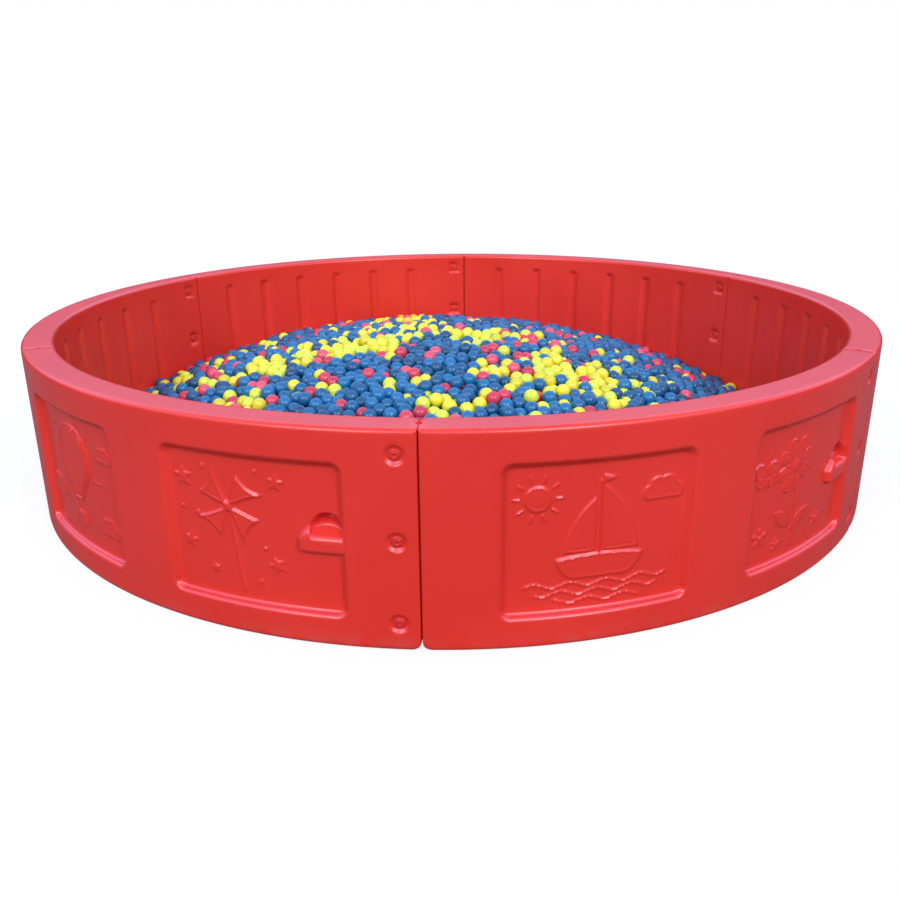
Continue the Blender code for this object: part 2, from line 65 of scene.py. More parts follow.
class Value:
    """A socket that a node gives out, so that sums of sockets and numbers are written as plain sums."""

    def __init__(self, nodes, socket):
        self.nodes = nodes
        self.socket = socket

    def __add__(self, other):
        return self.nodes.math("ADD", self, other)

    def __sub__(self, other):
        return self.nodes.math("SUBTRACT", self, other)

    def __rsub__(self, other):
        return self.nodes.math("SUBTRACT", other, self)

    def __mul__(self, other):
        return self.nodes.math("MULTIPLY", self, other)

    def __truediv__(self, other):
        return self.nodes.math("DIVIDE", self, other)

    def __mod__(self, other):
        return self.nodes.math("FLOORED_MODULO", self, other)

    __radd__ = __add__
    __rmul__ = __mul__


class Nodes:
    """A node tree, and the one way in which its nodes are made."""

    def __init__(self, tree):
        self.tree = tree

    def feed(self, socket, value):
        if isinstance(value, Value):
            self.tree.links.new(value.socket, socket)
        else:
            socket.default_value = value

    def node(self, kind, settings=None, sockets=None, output=0):
        made = self.tree.nodes.new(kind)
        for name, setting in (settings or {}).items():
            if name == "stops":
                ramp = made.color_ramp.elements
                while len(ramp) < len(setting):
                    ramp.new(0.5)
                for element, (position, colour) in zip(ramp, setting):
                    element.position = position
                    element.color = (*colour, 1)
            else:
                setattr(made, name, setting)
        for name, value in (sockets or {}).items():
            self.feed(made.inputs[name], value)
        return Value(self, made.outputs[output])

    def math(self, operation, *values):
        return self.node("ShaderNodeMath", {"operation": operation}, dict(enumerate(values)))

    def mixed(self, factor, first, second):
        colours = [(*colour, 1) if isinstance(colour, tuple) else colour for colour in (first, second)]
        sockets = {0: factor, 6: colours[0], 7: colours[1]}
        return self.node("ShaderNodeMix", {"data_type": "RGBA"}, sockets, 2)

    def part(self, vector, axis):
        return self.node("ShaderNodeSeparateXYZ", {}, {0: vector}, axis)

    def joined(self, **parts):
        return self.node("ShaderNodeCombineXYZ", {}, parts)

    def step(self, value, low, high):
        """0 up to low and 1 past high, with a soft change between them."""
        sockets = {"Value": value, "From Min": low, "From Max": high}
        return self.node("ShaderNodeMapRange", {"interpolation_type": "SMOOTHSTEP"}, sockets)


world = bpy.data.worlds.new("sky")
world.use_nodes = True
bpy.context.scene.world = world
sky = Nodes(world.node_tree)
direction = sky.node("ShaderNodeTexCoord", output="Generated")
rise = sky.part(direction, "Z")
low_sky = sky.mixed(sky.step(rise, 0.20, 0.41), (0.04, 0.04, 0.05), (1.00, 1.48, 2.36))
overcast = sky.mixed(sky.step(rise, 0.45, 0.90), low_sky, (0.64, 0.71, 0.92))
cloud = sky.node("ShaderNodeBackground", {}, {"Color": overcast, "Strength": 1.0})
white = sky.node("ShaderNodeBackground", {}, {"Color": (1, 1, 1, 1), "Strength": 1.0})
seen = sky.node("ShaderNodeLightPath", output="Is Camera Ray")
shown_sky = sky.node("ShaderNodeMixShader", {}, {0: seen, 1: cloud, 2: white})
sky.feed(world.node_tree.nodes["World Output"].inputs["Surface"], shown_sky)


def far_lamp(name, side, elevation, width, strength):
    """A lamp as far off as the sky. Its side (right of the view), elevation and width are in degrees."""
    lamp = bpy.data.objects.new(name, bpy.data.lights.new(name, "SUN"))
    lamp.data.angle = math.radians(width)
    lamp.data.energy = strength
    lamp.rotation_euler = (math.radians(90 - elevation), 0, math.radians(side))
    bpy.context.collection.objects.link(lamp)


far_lamp("left_lamp", -30, 33, 24, 1.11)
far_lamp("right_lamp", 33, 33, 24, 1.42)


def plain_mesh(name, points, faces):
    """A closed mesh whose faces all point outwards."""
    mesh = bpy.data.meshes.new(name)
    mesh.from_pydata(np.asarray(points).tolist(), [], faces)
    shape = bmesh.new()
    shape.from_mesh(mesh)
    bmesh.ops.recalc_face_normals(shape, faces=shape.faces)
    shape.to_mesh(mesh)
    shape.free()
    return mesh


def new_piece(name, mesh):
    piece = bpy.data.objects.new(name, mesh)
    bpy.context.collection.objects.link(piece)
    return piece


def turns_round(count):
    return np.linspace(0, 2 * math.pi, count + 1)[:-1]


FLOOR_RADIUS = 9
floor_ring = [(FLOOR_RADIUS * math.cos(turn), FLOOR_RADIUS * math.sin(turn), 0) for turn in turns_round(48)]
floor_mesh = bpy.data.meshes.new("floor")
floor_mesh.from_pydata(floor_ring, [], [list(range(len(floor_ring)))])
floor_paint = bpy.data.materials.new("pale_floor")
floor_paint.use_nodes = True
paint = Nodes(floor_paint.node_tree)
looked_at = paint.node("ShaderNodeLightPath", output="Is Camera Ray")
grain = paint.node("ShaderNodeTexNoise", {}, {"Scale": 60.0, "Detail": 3.0}) * 0.02
pale = paint.mixed(looked_at, (0.165, 0.16, 0.155), (0.93, 0.93, 0.93))
matt = paint.node("ShaderNodeBsdfDiffuse", {}, {"Color": pale, "Roughness": grain})
glow = paint.node("ShaderNodeEmission", {}, {"Color": (1, 1, 1, 1), "Strength": 1.0})
floor_shader = paint.node("ShaderNodeMixShader", {}, {0: looked_at * 0.78, 1: matt, 2: glow})
paint.feed(floor_paint.node_tree.nodes["Material Output"].inputs["Surface"], floor_shader)
floor_mesh.materials.append(floor_paint)
floor = new_piece("floor", floor_mesh)

# Wall panels
# Six hollow mouldings of red polyethylene, curved to the ring, with two recesses outside that hold low relief
# pictures, a finger grip in the second recess, upright grooves inside, and rounded edges all round.

RING_RADIUS = 1.5
WALL_THICKNESS = 0.1
WALL_HEIGHT = 0.575
PANEL_LENGTH = RING_RADIUS * math.pi / 3
OUT_TO_IN = RING_RADIUS / (RING_RADIUS - WALL_THICKNESS)
EDGE_ROUND = 0.0125
SIDE_ROUND = 0.0050
FOOT_CORNER = 0.024
TOP_CORNER = 0.003
CORNER_STEPS = 5
SEAM_GAP = 0.0016
LAND_GAP = 0.00015
BORDER = 0.026
RECESSES = ((0.190, 0.688), (0.888, 1.390))
RECESS_FOOT = 0.083
RECESS_TOP = 0.488
RECESS_DEPTH = 0.020
RECESS_ROUND = 0.0120
RECESS_CORNER = 0.030
WALL_SLOPE = 47
SILL_SLOPE = 73
BOLT_LEVELS = (0.075, 0.2935, 0.512)
BOLT_OFFSET = 0.054
SEAT_REACH = 0.0265
SEAT_DEPTH = 0.008
GROOVE_FIRST = 0.304
GROOVE_PITCH = (PANEL_LENGTH - GROOVE_FIRST - 0.200) / 5
GROOVE_HALF = 0.026
GROOVE_DEPTH = 0.0095
POCKET_MIDDLE = 1.343
POCKET_HALF = 0.046
POCKET_FLOOR = 0.300
POCKET_RISE = 0.0520
POCKET_DIP = 0.010
POCKET_REACH = 0.050
POCKET_DEPTH = 0.034
SCOOP_FOOT = 0.294
SCOOP_TOP = 0.322
SCOOP_DEPTH = 0.0235
BAR_START = 1.2655
BAR_END = 1.392
BAR_FOOT = 0.247
BAR_TOP = 0.296
BAR_LIFT = 0.020


def wear_in(distance, width, round_off):
    """0 outside an edge and 1 past its slope, with both ends of the slope rounded off."""

    def eased(along):
        middle = (along + round_off) ** 2 / (4 * round_off)
        return np.where(along < -round_off, 0, np.where(along > round_off, along, middle))

    return (eased(distance) - eased(distance - width)) / width


def wall_in(distance, slope):
    """The wall of a recess at a slope in degrees, rounded off by one radius at its top edge and its foot."""
    steepest = math.radians(slope)
    run, drop = RECESS_ROUND * math.sin(steepest), RECESS_ROUND * (1 - math.cos(steepest))
    straight = (RECESS_DEPTH - 2 * drop) / math.tan(steepest)
    past = np.clip(distance, 0, 2 * run + straight)
    edge = RECESS_ROUND - np.sqrt(RECESS_ROUND**2 - np.minimum(past, run) ** 2)
    to_foot = np.clip(2 * run + straight - past, 0, run)
    foot = RECESS_DEPTH - RECESS_ROUND + np.sqrt(RECESS_ROUND**2 - to_foot**2)
    middle = drop + (past - run) * math.tan(steepest)
    return np.where(past < run, edge, np.where(past < run + straight, middle, foot))


def from_box(x, z, low, high, corner):
    """Distance inside (positive) or outside (negative) a rounded rectangle."""
    across = np.abs(x - (low[0] + high[0]) / 2) - (high[0] - low[0]) / 2 + corner
    along = np.abs(z - (low[1] + high[1]) / 2) - (high[1] - low[1]) / 2 + corner
    beyond = np.hypot(np.maximum(across, 0), np.maximum(along, 0))
    return corner - beyond - np.minimum(np.maximum(across, along), 0)


def curve_between(start, end, bulge, steps=9):
    """Corners along an arc from start to end, which bulges to the left of its run."""
    start = np.array(start, float)
    end = np.array(end, float)
    side = np.array([start[1] - end[1], end[0] - start[0]])
    shares = np.linspace(0, 1, steps)
    return [tuple(start + (end - start) * share + side * bulge * 4 * share * (1 - share)) for share in shares]


def turned_by(points, turn, middle):
    cos, sin = math.cos(turn), math.sin(turn)
    return [(middle[0] + a * cos - b * sin, middle[1] + a * sin + b * cos) for a, b in points]


def ridge(distance, height, width=12):
    """A rounded raised line where the distance is 0."""
    return height * np.exp(-((distance / (width * 0.42)) ** 2))


class Relief:
    """A picture in low relief: drawn in millimetres from the middle of its recess, raised in metres."""

    def __init__(self, u, v):
        self.u = u
        self.v = v
        self.raised = np.zeros(u.shape)

    def add(self, raised):
        self.raised = np.maximum(self.raised, raised)

    def disc(self, middle, radius):
        """Distance inside a disc, as bar and outline give it inside theirs."""
        return radius - np.hypot(self.u - middle[0], self.v - middle[1])

    def bar(self, start, end, radius):
        run = np.subtract(end, start)
        share = ((self.u - start[0]) * run[0] + (self.v - start[1]) * run[1]) / max(run @ run, 1e-9)
        share = np.clip(share, 0, 1)
        return radius - np.hypot(self.u - start[0] - share * run[0], self.v - start[1] - share * run[1])

    def outline(self, corners):
        nearest = np.full(self.u.shape, 1e9)
        inside = np.zeros(self.u.shape, bool)
        for (au, av), (bu, bv) in zip(corners, corners[1:] + corners[:1]):
            nearest = np.minimum(nearest, -self.bar((au, av), (bu, bv), 0))
            crossed = (av > self.v) != (bv > self.v)
            rise_between = bv - av if bv != av else 1e-9
            inside ^= crossed & (self.u < au + (bu - au) * (self.v - av) / rise_between)
        return np.where(inside, nearest, -nearest)

    def area(self, inside, height, edge=9, crest=0, inset=4, width=12):
        """A low raised area with a soft edge, and a higher crest along it."""
        self.add(height * wear_in(inside + 1, edge, 2.5))
        if crest:
            self.add(ridge(inside - inset, crest, width))

    def rod(self, start, end, radius, height):
        self.add(height * wear_in(self.bar(start, end, radius), math.ceil(radius), 1.5 if radius < 3 else 2))

    def path(self, corners, radius, height):
        for start, end in zip(corners, corners[1:]):
            self.rod(start, end, radius, height)

    def cloud(self, middle, size):
        def spot(across, up):
            return middle[0] + across * size, middle[1] + up * size

        inside = self.bar(spot(-1.2, -0.4), spot(1.2, -0.4), 0.25 * size)
        puffs = ((-1.1, -0.1, 0.55), (-0.45, 0.3, 0.75), (0.35, 0.25, 0.85), (1.1, -0.1, 0.6))
        for across, up, radius in puffs:
            inside = np.maximum(inside, self.disc(spot(across, up), radius * size))
        self.area(inside, 0.003, crest=0.0045)

    def blossom(self, middle, size, petals):
        for turn in turns_round(petals) + 0.3:
            ends = turned_by([(size * 0.72, 0), (size * 1.15, 0)], turn, middle)
            self.area(self.bar(*ends, size * 0.34), 0.0045, size * 0.3, 0.0045, 3, 7)
        self.area(self.disc(middle, size * 0.5), 0.007, size * 0.3)

    def leaf(self, start, end, bulge):
        corners = curve_between(start, end, bulge)[:-1] + curve_between(end, start, bulge)[:-1]
        self.area(self.outline(corners), 0.0040, 9, 0.0045, 3, 7)
        self.rod(start, end, 2.6, 0.0058)

    def star(self, middle, size, turn):
        corners = []
        for number in range(10):
            reach = size * 0.46 if number % 2 else size
            corners += turned_by([(reach, 0)], turn + number * math.pi / 5, middle)
        self.area(self.outline(corners), 0.0045, size * 0.3, 0.0045, 3, 7)


def boat(art):
    hull = curve_between((118, -58), (-112, -58), -0.05) + curve_between((-112, -58), (-70, -112), -0.12)
    hull += curve_between((72, -112), (118, -58), -0.12)
    art.area(art.outline(hull), 0.005, crest=0.0065, inset=5)
    art.rod((-88, -77), (92, -77), 4.5, 0.0075)
    main_sail = curve_between((12, -42), (12, 128), 0) + curve_between((12, 128), (104, -42), 0.1)
    fore_sail = curve_between((-12, 98), (-12, -42), 0) + curve_between((-90, -42), (-12, 98), 0.1)
    for sail in (main_sail, fore_sail):
        art.area(art.outline(sail), 0.0045, 12, 0.0055)
    for height in (0, 45):
        art.rod((22, height), (78 - 0.55 * height, height), 3.2, 0.0062)
    art.rod((0, -58), (0, 140), 4.5, 0.0065)
    art.area(art.outline([(3, 158), (3, 132), (46, 145)]), 0.005, 5)
    wave_height, wave_run = 6.5, 15
    for level, reach, start in ((-128, 196, 0), (-150, 168, 1.6), (-172, 120, 3.1)):
        swell = level + wave_height * np.sin(art.u / wave_run + start)
        slope = wave_height / wave_run * np.cos(art.u / wave_run + start)
        wave = 5 - np.abs(art.v - swell) / np.sqrt(1 + slope**2)
        art.add(0.0045 * wear_in(np.minimum(wave, (reach - np.abs(art.u)) / 2), 5, 2.5))
    sun = (-158, 104)
    art.area(art.disc(sun, 32), 0.0045, 14, 0.0055)
    for turn in turns_round(10):
        art.rod(*turned_by([(45, 0), (61, 0)], turn, sun), 4, 0.0048)
    art.cloud((168, 96), 34)


def balloon(art):
    neck = [(-86, 16), (86, 16), (24, -66), (-24, -66)]
    envelope = np.maximum(art.disc((0, 62), 98), art.outline(neck))
    art.area(envelope, 0.0055, 26, 0.0062, 5)
    height = np.clip((art.v - 62) / 98, -1, 1)
    half_width = np.where(art.v > 16, 98 * np.sqrt(1 - height**2), 24 + (art.v + 66) * 62 / 82)
    inner = wear_in(envelope - 8, 6, 2)
    for share in (-0.72, -0.26, 0.26, 0.72):
        art.add(inner * (0.0050 + ridge(art.u - share * half_width, 0.0028)))
    for level in (11, 96):
        band = 5 - np.abs(art.v - level + (art.u / 34) ** 2)
        art.add(inner * 0.0074 * wear_in(band, 5, 2))
    for side in (-1, 1):
        art.rod((side * 21, -68), (side * 17, -108), 3.2, 0.0045)
    art.area(from_box(art.u, art.v, (-25, -148), (25, -106), 7), 0.005, 6, 0.006)
    for level in (-120, -134):
        art.rod((-18, level), (18, level), 2.8, 0.0066)
    for middle, size in (((-168, -70), 34), ((165, -118), 30), ((178, 98), 26)):
        art.cloud(middle, size)
    for u, v in ((-176, 96), (-140, 132), (132, 8)):
        for side in (-1, 1):
            art.path(curve_between((u, v), (u + side * 24, v + 5), side * 0.22, 6), 3.4, 0.004)


def flowers(art):
    art.blossom((-58, 70), 54, 8)
    for middle, size in (((-188, -112), 20), ((92, -128), 18), ((-112, -150), 14)):
        art.blossom(middle, size, 5)
    art.path(curve_between((-58, 4), (-46, -166), 0.06), 4.6, 0.005)
    art.leaf((-56, -108), (-136, -52), 0.2)
    art.leaf((-52, -122), (34, -74), 0.2)
    for start, lean in ((-214, 6), (-166, -8), (-150, 10), (-20, -7), (18, 8), (52, -6), (66, 7), (128, 9)):
        art.rod((start, -178), (start + lean, -146), 3.4, 0.004)
    for side in (-1, 1):
        for across, up, radius in ((27, 81, 24), (20, 49, 17)):
            place = (-186 + side * across, up)
            art.area(art.disc(place, radius), 0.004, 9, 0.0055, width=8)
            art.area(art.disc(place, radius * 0.3), 0.0058, 5)
        art.rod((-186, 92), (-186 + side * 16, 118), 2.8, 0.004)
    art.rod((-186, 34), (-186, 92), 6, 0.0072)


def pinwheel(art):
    middle = (-62, 56)
    art.rod(middle, (-34, -172), 5.5, 0.005)
    blade = curve_between((0, 0), (104, 4), 0.04) + curve_between((104, 4), (56, 68), 0.14)[1:]
    for turn in turns_round(4) + 0.35:
        inside = art.outline(turned_by(blade, turn, middle))
        art.area(inside, 0.0050, 12, 0.0068)
        fold = art.bar(*turned_by([(12, 6), (66, 42)], turn, middle), 3)
        art.add(wear_in(inside, 5, 2) * 0.0072 * wear_in(fold, 5, 2))
    art.area(art.disc(middle, 15), 0.0085, 7)
    for u, v, size, turn in (
        (-196, 116, 30, 0.4), (-190, -56, 24, 0.1), (-118, -122, 17, 0.5),
        (66, -88, 26, 0.7), (74, 132, 24, 0.2),
    ):
        art.star((u, v), size, turn)
    for u, v, radius in (
        (-158, 24, 9), (-206, 34, 6), (16, -140, 8), (36, -46, 6), (-132, 152, 8), (22, 156, 6),
    ):
        art.area(art.disc((u, v), radius), 0.0045, radius * 0.8)


def smooth(share):
    share = np.clip(share, 0, 1)
    return share**2 * (3 - 2 * share)


def grip_depth(x, z, depth):
    """Cuts the finger pocket and sets the bar of the grip, at the far end of the second recess."""
    across = (x - POCKET_MIDDLE) / POCKET_HALF
    up = (z - POCKET_FLOOR) / np.where(z > POCKET_FLOOR, POCKET_RISE, POCKET_DIP)
    into_arch = (1 - np.hypot(across, up)) * POCKET_REACH
    arch = depth + POCKET_DEPTH * wear_in(into_arch, 0.009, 0.003)
    scoop_top = SCOOP_TOP - 0.018 * across**2
    up_scoop = np.clip((z - SCOOP_FOOT) / np.maximum(scoop_top - SCOOP_FOOT, 0.004), 0, 1)
    scoop = SCOOP_DEPTH + 0.004 * up_scoop
    scoop = scoop + 0.027 * wear_in(z - scoop_top, 0.006, 0.003)
    here = (z > 0.290) & (np.abs(across) < 1.15) & (into_arch > -0.006)
    pocket = np.where(here, np.minimum(arch, scoop), depth)
    lift = smooth((x - 1.268) / 0.034) * (1 - smooth((x - 1.300) / 0.006))
    bar_top = BAR_TOP + BAR_LIFT * lift
    end_in = (x - BAR_START) / 0.020
    top_in = (bar_top - z) / (0.015 + 0.016 * lift)
    foot_in = (z - BAR_FOOT) / 0.013
    rounded = np.clip(1 - end_in, 0, 1) ** 2 + np.clip(1 - np.minimum(top_in, foot_in), 0, 1) ** 2
    raised = np.sqrt(np.clip(1 - rounded, 0, 1))
    inside = (x > BAR_START) & (z > BAR_FOOT) & (z < bar_top)
    bar = np.where(inside, RECESS_DEPTH - (RECESS_DEPTH - 0.003) * raised, 1.0)
    return np.minimum(pocket, np.where(x < BAR_END, bar, depth))


def outside_depth(x, z, pictures):
    """How far the outer face lies below the ring's outside, in metres."""
    depth = np.zeros(x.shape)
    for (start, end), picture in zip(RECESSES, pictures):
        inside = from_box(x, z, (start, RECESS_FOOT), (end, RECESS_TOP), RECESS_CORNER)
        here = (x > start - 0.012) & (x < end + 0.012)
        sill = smooth((RECESS_FOOT + 0.036 - z) / 0.030)
        walls = wall_in(inside + 0.007, WALL_SLOPE)
        walls += sill * (wall_in(inside + 0.009, SILL_SLOPE) - walls)
        depth = np.where(here, walls, depth)
        field = inside > 0.018
        art = Relief((x[field] - (start + end) / 2) * 1000, (z[field] - (RECESS_FOOT + RECESS_TOP) / 2) * 1000)
        picture(art)
        depth[field] -= art.raised
    depth = np.where(x > 1.2, grip_depth(x, z, depth), depth)
    for level in BOLT_LEVELS:
        dish = SEAT_REACH - np.hypot(x - PANEL_LENGTH + BOLT_OFFSET, z - level)
        depth = depth + SEAT_DEPTH * wear_in(dish, 0.0090, 0.0030)
    return depth


def inside_depth(x, z):
    """How far the inner face lies below the ring's inside, in metres."""
    depth = np.zeros(x.shape)
    for number in range(6):
        middle = GROOVE_FIRST + number * GROOVE_PITCH
        low, high = (middle - GROOVE_HALF, 0.056), (middle + GROOVE_HALF, WALL_HEIGHT - 0.062)
        depth = depth + GROOVE_DEPTH * wear_in(from_box(x, z, low, high, 0.016), 0.016, 0.007)
    for level in BOLT_LEVELS:
        low = ((BOLT_OFFSET - SEAT_REACH) * OUT_TO_IN, level - SEAT_REACH)
        high = ((BOLT_OFFSET + SEAT_REACH) * OUT_TO_IN, level + SEAT_REACH)
        depth = depth + SEAT_DEPTH * wear_in(from_box(x, z, low, high, 0.009), 0.006, 0.0018)
    return depth


def lines_between(start, end, coarse, fine):
    """Places for grid lines, whose spacing is the finest of the (from, to, spacing) that hold it."""
    places = [start]
    while places[-1] < end:
        here = places[-1]
        spacing = min([gap for low, high, gap in fine if low <= here < high] + [coarse])
        places.append(here + spacing)
    return start + (np.array(places) - start) * (end - start) / (places[-1] - start)


def outline_targets(columns, rows):
    """The grid's border vertices in order, and where each lies on the panel's outline."""
    low_x, high_x = SEAM_GAP, PANEL_LENGTH - SEAM_GAP
    grid = np.arange(len(columns) * len(rows)).reshape(len(columns), len(rows))
    foot, top = FOOT_CORNER, WALL_HEIGHT - TOP_CORNER
    sides = (
        (grid[:, 0], [(x, 0) for x in columns], (low_x + foot, foot), FOOT_CORNER, math.pi),
        (grid[-1], [(high_x, z) for z in rows], (high_x - foot, foot), FOOT_CORNER, math.pi * 1.5),
        (grid[::-1, -1], [(x, WALL_HEIGHT) for x in columns[::-1]], (high_x - TOP_CORNER, top), TOP_CORNER, 0),
        (grid[0, ::-1], [(low_x, z) for z in rows[::-1]], (low_x + TOP_CORNER, top), TOP_CORNER, math.pi / 2),
    )
    source, target = [], []
    for number, (indices, places, (x, z), radius, first_turn) in enumerate(sides):
        turns = np.linspace(first_turn, first_turn + math.pi / 2, CORNER_STEPS)
        arc = [(x + radius * math.cos(turn), z + radius * math.sin(turn)) for turn in turns]
        source += [indices[0]] * (CORNER_STEPS + 1) + list(indices[:-1])
        target += [sides[number - 1][1][-1], *arc, *places[:-1]]
    return np.array(source), np.array(target)


def round_edge(x, z):
    """How far the rounded edge falls below the face: rounder at the rim and the foot than at the seams."""
    high_x = PANEL_LENGTH - SEAM_GAP
    corner = np.where(z < WALL_HEIGHT / 2, FOOT_CORNER, TOP_CORNER)
    inside = from_box(x, z, (SEAM_GAP, 0), (high_x, WALL_HEIGHT), corner)
    from_seam = np.maximum(np.minimum(x - SEAM_GAP, high_x - x), 0)
    from_end = np.maximum(np.minimum(z, WALL_HEIGHT - z), 0)
    radius = SIDE_ROUND + (EDGE_ROUND - SIDE_ROUND) * from_seam / np.maximum(from_seam + from_end, 1e-6)
    short = np.clip(radius - np.clip(inside, 0, None), 0, radius)
    return radius - np.sqrt(radius**2 - short**2)


def half_shell(columns, rows, depth_at, first):
    """One face of the panel with its rounded edge: its (x, z, depth) points, its faces and its last ring."""
    x, z = (field.ravel() for field in np.meshgrid(columns, rows, indexing="ij"))
    rings = [np.stack([x, z, depth_at(x, z)], 1)]
    index = first + np.arange(len(x)).reshape(len(columns), len(rows))
    quads = np.stack([index[:-1, :-1], index[1:, :-1], index[1:, 1:], index[:-1, 1:]], 2)
    quads = quads.reshape(-1, 4).tolist()
    source, target = outline_targets(columns, rows)
    start = rings[0][source, :2]
    insets = [0.018, EDGE_ROUND + 0.001]
    insets += [EDGE_ROUND * (1 - math.cos(math.radians(turn))) for turn in (68, 45, 22, 0)]
    for inset in insets:
        place = start + (1 - inset / BORDER) * (target - start)
        rings.append(np.column_stack([place, depth_at(*place.T) + round_edge(*place.T)]))
    stretch = (PANEL_LENGTH / 2 - LAND_GAP) / (PANEL_LENGTH / 2 - SEAM_GAP)
    for depth, growth in ((EDGE_ROUND + 0.002, 1), (0.0155, 1), (0.0165, stretch)):
        place = (target - (PANEL_LENGTH / 2, 0)) * (growth, 1) + (PANEL_LENGTH / 2, 0)
        rings.append(np.column_stack([place, np.full(len(place), depth)]))
    before = first + source
    begin = first + len(x)
    for ring in rings[1:]:
        now = begin + np.arange(len(ring))
        for a, b, c, d in zip(before, np.roll(before, -1), np.roll(now, -1), now):
            quads.append([a, b, c, d] if a != b else [a, c, d])
        before = now
        begin += len(ring)
    return np.concatenate(rings), quads, before


def bridge(points, first, second):
    """Triangles between two rings of different counts that run the same way."""

    def run(ring):
        steps = np.linalg.norm(np.diff(points[np.append(ring, ring[0])][:, [0, 2]], axis=0), axis=1)
        return np.append(0, np.cumsum(steps)) / steps.sum()

    runs = run(first), run(second)
    faces = []
    i = j = 0
    while i < len(first) or j < len(second):
        a, b = first[i % len(first)], second[j % len(second)]
        if j == len(second) or (i < len(first) and runs[0][i + 1] <= runs[1][j + 1]):
            i += 1
            faces.append([a, first[i % len(first)], b])
        else:
            j += 1
            faces.append([a, second[j % len(second)], b])
    return faces


def flat_panel(name, pictures):
    """A whole panel before it is bent: x along the outside, y from inside to outside, z up."""
    bolt_rows = [(level - 0.030, level + 0.030, 0.0030) for level in BOLT_LEVELS]
    fine_columns = [(PANEL_LENGTH - BOLT_OFFSET - 0.030, PANEL_LENGTH - 0.026, 0.0028), (1.258, 1.402, 0.0024)]
    for start, end in RECESSES:
        fine_columns += [(start - 0.009, start + 0.022, 0.0020), (end - 0.022, end + 0.009, 0.0020)]
        fine_columns.append((start, end, 0.0036))
    fine_rows = bolt_rows + [(RECESS_FOOT, RECESS_TOP, 0.0036), (0.236, 0.368, 0.0026)]
    fine_rows.append((RECESS_TOP - 0.022, RECESS_TOP + 0.009, 0.0020))
    fine_rows.append((RECESS_FOOT - 0.010, RECESS_FOOT + 0.015, 0.0018))
    fine_rows.append((RECESS_FOOT - 0.001, RECESS_FOOT + 0.007, 0.0010))
    columns = lines_between(BORDER, PANEL_LENGTH - BORDER, 0.011, fine_columns)
    rows = lines_between(BORDER, WALL_HEIGHT - BORDER, 0.010, fine_rows)
    outer, faces, outer_ring = half_shell(columns, rows, lambda x, z: outside_depth(x, z, pictures), 0)
    pocket = BOLT_OFFSET * OUT_TO_IN
    fine_columns = [(pocket - 0.030, pocket + 0.031, 0.0030)]
    for number in range(6):
        middle = GROOVE_FIRST + number * GROOVE_PITCH
        fine_columns += [(middle - 0.031, middle - 0.011, 0.0032), (middle + 0.011, middle + 0.031, 0.0032)]
        fine_columns.append((middle - 0.031, middle + 0.031, 0.0075))
    fine_rows = [(level - 0.029, level + 0.029, 0.0034) for level in BOLT_LEVELS]
    fine_rows += [(0.052, 0.074, 0.0034), (WALL_HEIGHT - 0.074, WALL_HEIGHT - 0.049, 0.0034)]
    columns = lines_between(BORDER, PANEL_LENGTH - BORDER, 0.016, fine_columns)
    rows = lines_between(BORDER, WALL_HEIGHT - BORDER, 0.015, fine_rows)
    inner, inner_faces, inner_ring = half_shell(columns, rows, inside_depth, len(outer))
    points = np.concatenate([
        np.column_stack([outer[:, 0], WALL_THICKNESS - outer[:, 2], outer[:, 1]]),
        np.column_stack([inner[:, 0], inner[:, 2], inner[:, 1]]),
    ])
    faces += inner_faces + bridge(points, outer_ring, inner_ring)
    return plain_mesh(name, points, faces)


class Shaper(Nodes):
    """A tree of Geometry Nodes with named sizes, run once on a blank to give a plain mesh."""

    def __init__(self, name, sizes):
        super().__init__(bpy.data.node_groups.new(name, "GeometryNodeTree"))
        face = self.tree.interface
        face.new_socket("Geometry", in_out="INPUT", socket_type="NodeSocketGeometry")
        face.new_socket("Geometry", in_out="OUTPUT", socket_type="NodeSocketGeometry")
        self.sizes = {}
        for size in sizes:
            self.sizes[size] = face.new_socket(size, in_out="INPUT", socket_type="NodeSocketFloat").identifier
        self.plastic = face.new_socket("Plastic", in_out="INPUT", socket_type="NodeSocketMaterial").identifier
        self.start = self.tree.nodes.new("NodeGroupInput")
        self.blank = Value(self, self.start.outputs["Geometry"])

    def size(self, name):
        return Value(self, self.start.outputs[name])

    def finish(self, geometry):
        whole = self.node("GeometryNodeRealizeInstances", {}, {"Geometry": geometry})
        whole = self.node("GeometryNodeSetMaterial", {}, {"Geometry": whole, "Material": self.size("Plastic")})
        end = self.tree.nodes.new("NodeGroupOutput")
        self.feed(end.inputs["Geometry"], whole)

    def shape(self, name, blank, plastic, sizes, sharp=50):
        """A new piece from a blank mesh, with the tree's result as its plain mesh."""
        piece = new_piece(name, blank)
        modifier = piece.modifiers.new(self.tree.name, "NODES")
        modifier.node_group = self.tree
        modifier[self.plastic] = plastic
        for size, value in sizes.items():
            modifier[self.sizes[size]] = value
        graph = bpy.context.evaluated_depsgraph_get()
        mesh = bpy.data.meshes.new_from_object(piece.evaluated_get(graph))
        mesh.name = name
        piece.modifiers.clear()
        piece.data = mesh
        mesh.shade_smooth()
        mesh.set_sharp_from_angle(angle=math.radians(sharp))
        return piece


